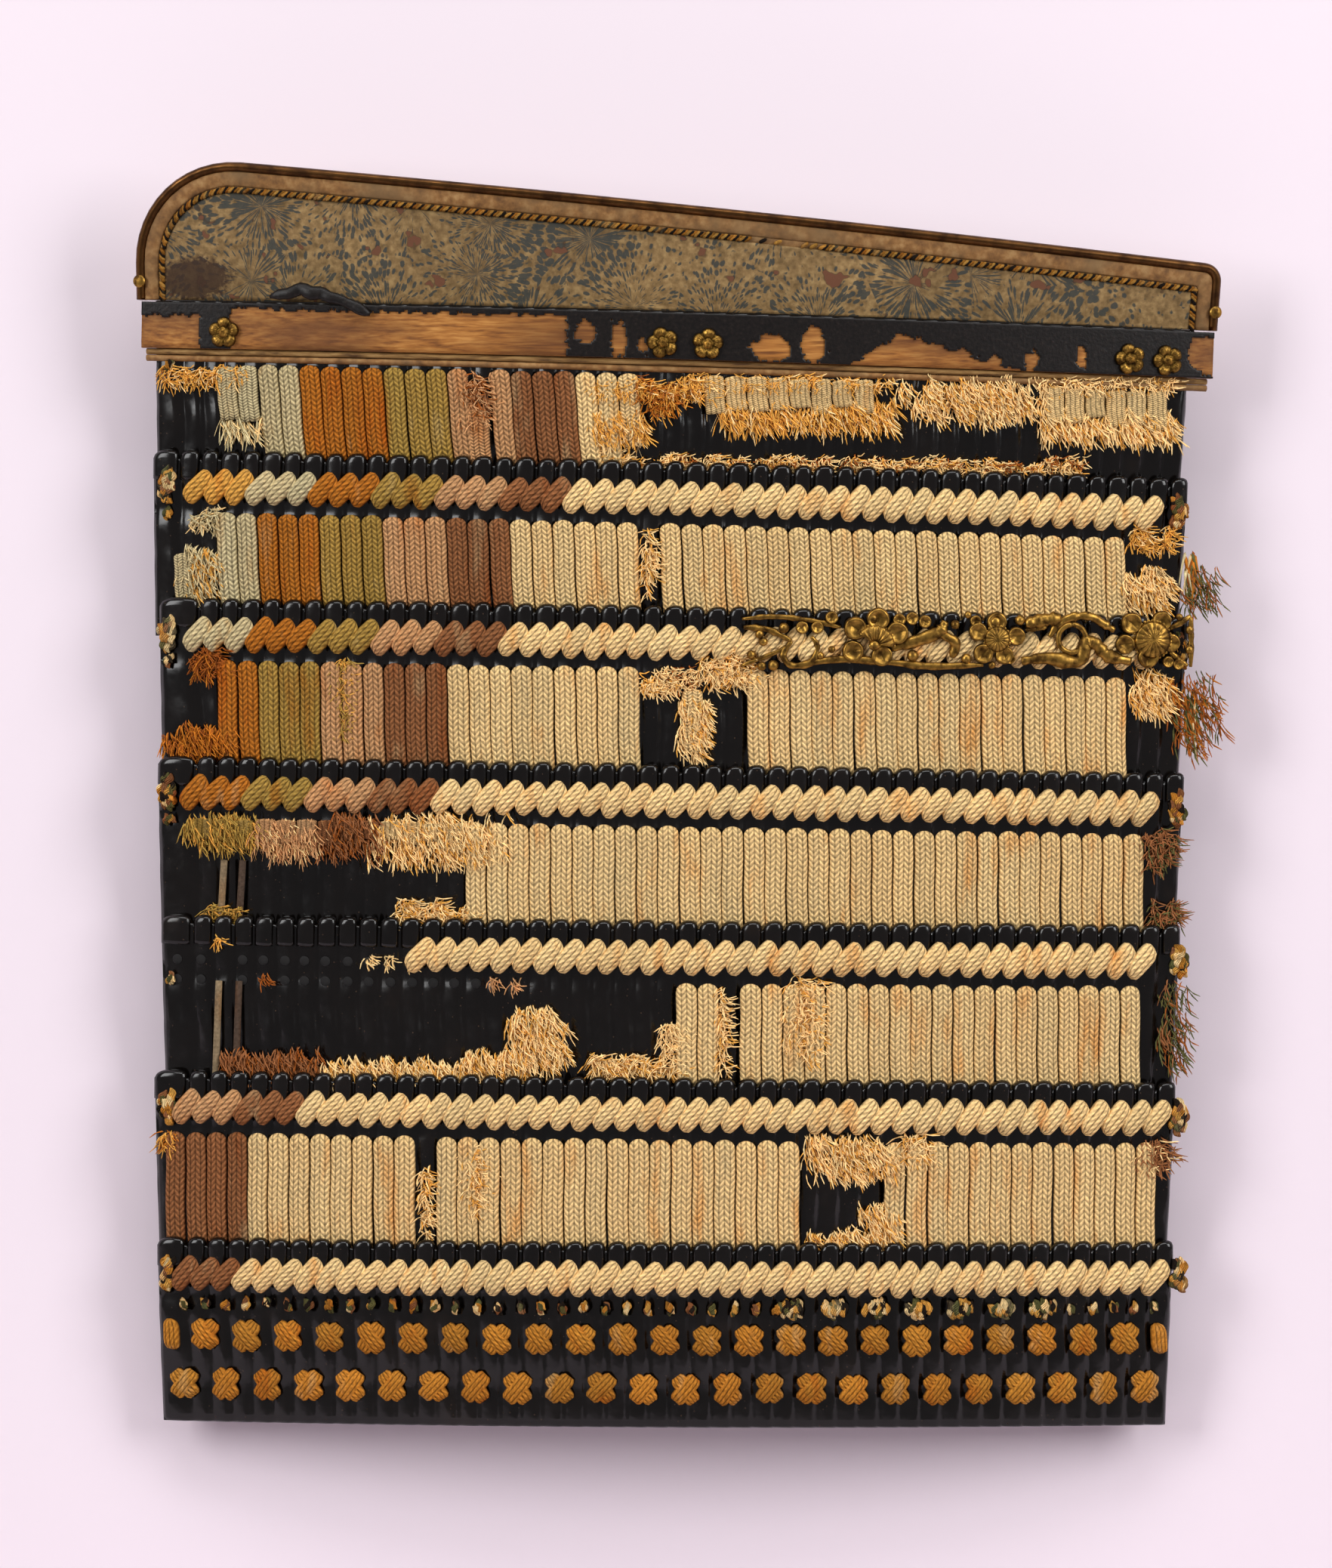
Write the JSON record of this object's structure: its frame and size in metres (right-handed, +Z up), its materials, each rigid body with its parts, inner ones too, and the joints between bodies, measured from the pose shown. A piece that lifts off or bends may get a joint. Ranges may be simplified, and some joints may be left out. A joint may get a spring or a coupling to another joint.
{
  "type": "samurai shoulder guard",
  "caption": "Large hanging shoulder guard: boards of lacquered scales laced with silk under a leather-faced top plate, with rings at the back to hang it by.",
  "frame": {"origin": "centre of the eye of the middle ring staple on the back of the top plate", "axes": "+Z up, +X to the viewer's right seen from the front, -Y out of the front"},
  "size_m": [0.3489, 0.0425, 0.4033],
  "materials": {
    "black_lacquer": "gloss",
    "iron_plate": "satin",
    "cream_silk": "matte",
    "amber_silk": "matte",
    "mixed_silk": "matte",
    "printed_leather": "satin",
    "border_leather": "satin",
    "plain_leather": "matte",
    "black_skin": "satin",
    "braid_thread": "matte",
    "bare_wood": "matte",
    "gilt_metal": "satin",
    "aged_gilt": "satin"
  },
  "bodies": {
    "plate": {"lame_1": "black_lacquer", "top_plate": "iron_plate", "plate_lining": "plain_leather", "main_leather": "printed_leather", "border_leather": "border_leather", "stitched_braid": "braid_thread", "rim": "aged_gilt", "rim_rivets": "gilt_metal", "facing_board": "bare_wood", "board_skin": "black_skin", "upper_moulding": "plain_leather", "lower_moulding": "plain_leather", "flower_rivets": "gilt_metal", "ring_staples": "gilt_metal", "staple_seats": "gilt_metal", "skin_flap": "black_skin"},
    "ring_left": {"ring_left": "gilt_metal"},
    "ring_centre": {"ring_centre": "gilt_metal"},
    "ring_right": {"ring_right": "gilt_metal"},
    "mizunomi_ring": {"mizunomi_ring": "gilt_metal"},
    "silk_1": {"lacing_1": "cream_silk"},
    "silk_2": {"lacing_2": "cream_silk"},
    "silk_3": {"lacing_3": "cream_silk"},
    "silk_4": {"lacing_4": "cream_silk", "thongs_4": "plain_leather"},
    "silk_5": {"lacing_5": "cream_silk", "thongs_5": "plain_leather"},
    "silk_6": {"lacing_6": "cream_silk"},
    "board_2": {"lame_2": "black_lacquer", "rope_2": "cream_silk", "edge_rope_2": "mixed_silk", "edge_lacing_2": "mixed_silk"},
    "board_3": {"lame_3": "black_lacquer", "rope_3": "cream_silk", "edge_rope_3": "mixed_silk", "edge_lacing_3": "mixed_silk", "plum_ornament": "gilt_metal", "ornament_pins": "gilt_metal"},
    "board_4": {"lame_4": "black_lacquer", "rope_4": "cream_silk", "edge_rope_4": "mixed_silk", "mizunomi_staple": "gilt_metal", "mizunomi_seat": "gilt_metal"},
    "board_5": {"lame_5": "black_lacquer", "rope_5": "cream_silk", "edge_rope_5": "mixed_silk"},
    "board_6": {"lame_6": "black_lacquer", "rope_6": "cream_silk", "edge_rope_6": "mixed_silk"},
    "board_7": {"lame_7": "black_lacquer", "rope_7": "cream_silk", "edge_rope_7": "mixed_silk", "cross_knots_upper": "amber_silk", "cross_knots_lower": "amber_silk", "end_stitches": "mixed_silk", "ridge_stitches": "mixed_silk"}
  },
  "joints": [
    {"name": "lift_2", "type": "slide", "parent": "plate", "child": "silk_1", "axis": [0.0286, -0.108, 0.9937], "range_m": [0, 0.024], "deforming": ["lacing_1"]},
    {"name": "swing_2", "type": "hinge", "parent": "silk_1", "child": "board_2", "pos_m": [-0.00046, 0.0078, -0.06099], "axis": [-0.9996, 0, 0.0279], "range_deg": [0, 25]},
    {"name": "lift_3", "type": "slide", "parent": "board_2", "child": "silk_2", "axis": [0.0278, -0.108, 0.9938], "range_m": [0, 0.024], "deforming": ["lacing_2"]},
    {"name": "swing_3", "type": "hinge", "parent": "silk_2", "child": "board_3", "pos_m": [-0.00046, 0.00807, -0.10679], "axis": [-0.9998, 0, 0.0192], "range_deg": [0, 25]},
    {"name": "lift_4", "type": "slide", "parent": "board_3", "child": "silk_3", "axis": [0.0191, -0.108, 0.994], "range_m": [0, 0.024], "deforming": ["lacing_3"]},
    {"name": "swing_4", "type": "hinge", "parent": "silk_3", "child": "board_4", "pos_m": [-0.00046, 0.00849, -0.15699], "axis": [-0.9998, 0, 0.0175], "range_deg": [0, 25]},
    {"name": "lift_5", "type": "slide", "parent": "board_4", "child": "silk_4", "axis": [0.0173, -0.108, 0.994], "range_m": [0, 0.024], "deforming": ["lacing_4", "thongs_4"]},
    {"name": "swing_5", "type": "hinge", "parent": "silk_4", "child": "board_5", "pos_m": [-0.00046, 0.00879, -0.20669], "axis": [-0.9999, 0, 0.0105], "range_deg": [0, 25]},
    {"name": "lift_6", "type": "slide", "parent": "board_5", "child": "silk_5", "axis": [0.0104, -0.108, 0.9941], "range_m": [0, 0.024], "deforming": ["lacing_5", "thongs_5"]},
    {"name": "swing_6", "type": "hinge", "parent": "silk_5", "child": "board_6", "pos_m": [-0.00046, 0.0092, -0.25659], "axis": [-0.9999, 0, 0.0122], "range_deg": [0, 25]},
    {"name": "lift_7", "type": "slide", "parent": "board_6", "child": "silk_6", "axis": [0.0121, -0.108, 0.9941], "range_m": [0, 0.024], "deforming": ["lacing_6"]},
    {"name": "swing_7", "type": "hinge", "parent": "silk_6", "child": "board_7", "pos_m": [-0.00046, 0.00966, -0.30889], "axis": [-1, 0, 0.0044], "range_deg": [0, 25]},
    {"name": "ring_left_swing", "type": "hinge", "parent": "plate", "child": "ring_left", "pos_m": [-0.1185, 0.01024, 0.00341], "axis": [0.9848, -0.1714, -0.0284], "range_deg": [0, 150]},
    {"name": "ring_centre_swing", "type": "hinge", "parent": "plate", "child": "ring_centre", "pos_m": [0, 0, 0], "axis": [0.9996, 0, -0.0288], "range_deg": [0, 150]},
    {"name": "ring_right_swing", "type": "hinge", "parent": "plate", "child": "ring_right", "pos_m": [0.1185, 0.01024, -0.00341], "axis": [0.9848, 0.1714, -0.0284], "range_deg": [0, 150]},
    {"name": "mizunomi_ring_swing", "type": "hinge", "parent": "board_4", "child": "mizunomi_ring", "pos_m": [0.14507, 0.02318, -0.20804], "axis": [0.9772, 0.2114, -0.0171], "range_deg": [0, 100]}
  ]
}
